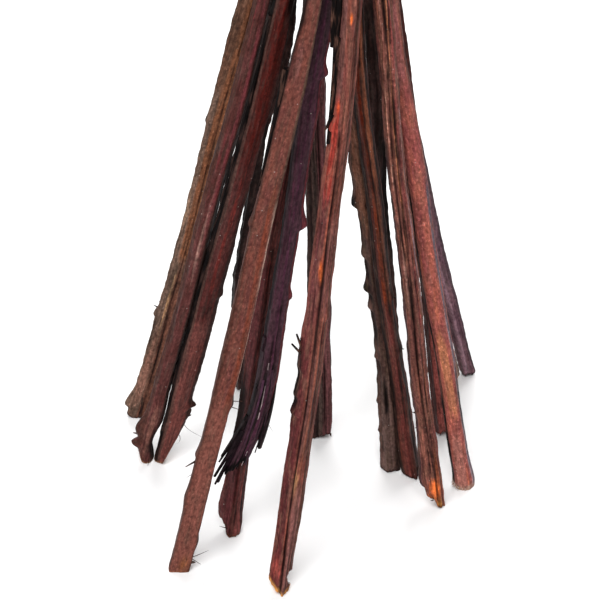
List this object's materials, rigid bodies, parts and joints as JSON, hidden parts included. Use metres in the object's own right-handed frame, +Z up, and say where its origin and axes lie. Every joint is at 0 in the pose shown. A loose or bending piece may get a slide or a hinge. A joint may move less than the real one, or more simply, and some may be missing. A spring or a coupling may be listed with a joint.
{
  "type": "bundle of twigs",
  "caption": "Flared, upright bundle of cut twigs gathered in a twine binding below their tips, standing on its sawn ends.",
  "frame": {"origin": "on the surface that the sawn ends stand on, under the middle of the bundle's outline", "axes": "+Z up, along the bundle from its sawn ends to its tips; the front of the bundle faces -Y"},
  "size_m": [0.2038, 0.2128, 0.69],
  "materials": {
    "smooth_rind": "smooth orange-brown rind with fine pale speckles",
    "ribbed_wood": "red-brown rind with lengthwise ribs and flaking strips of bark",
    "red_rind": "deep red-brown rind, dull, with fine lengthwise grain",
    "purple_rind": "dark purple-brown rind, slightly glossy",
    "grey_bark": "grey-brown bark with an orange-brown band, rough",
    "dark_bark": "dark grey-brown ribbed bark, rough",
    "twine": "natural two-ply twine, fibrous"
  },
  "bodies": {
    "root": {"twig_far_left": "grey_bark", "twig_left": "red_rind", "twig_left_red": "red_rind", "twig_back_left": "dark_bark", "twig_front_left": "smooth_rind", "twig_front_left_inner": "ribbed_wood", "twig_frayed": "purple_rind", "twig_middle": "dark_bark", "twig_front": "ribbed_wood", "twig_knotty": "dark_bark", "twig_right_inner": "red_rind", "twig_right_ribbed": "ribbed_wood", "twig_right_back": "red_rind", "twig_right": "smooth_rind", "twig_far_right": "purple_rind", "twig_far_right_back": "grey_bark", "twig_back": "dark_bark", "twine_binding": "twine"}
  },
  "joints": []
}
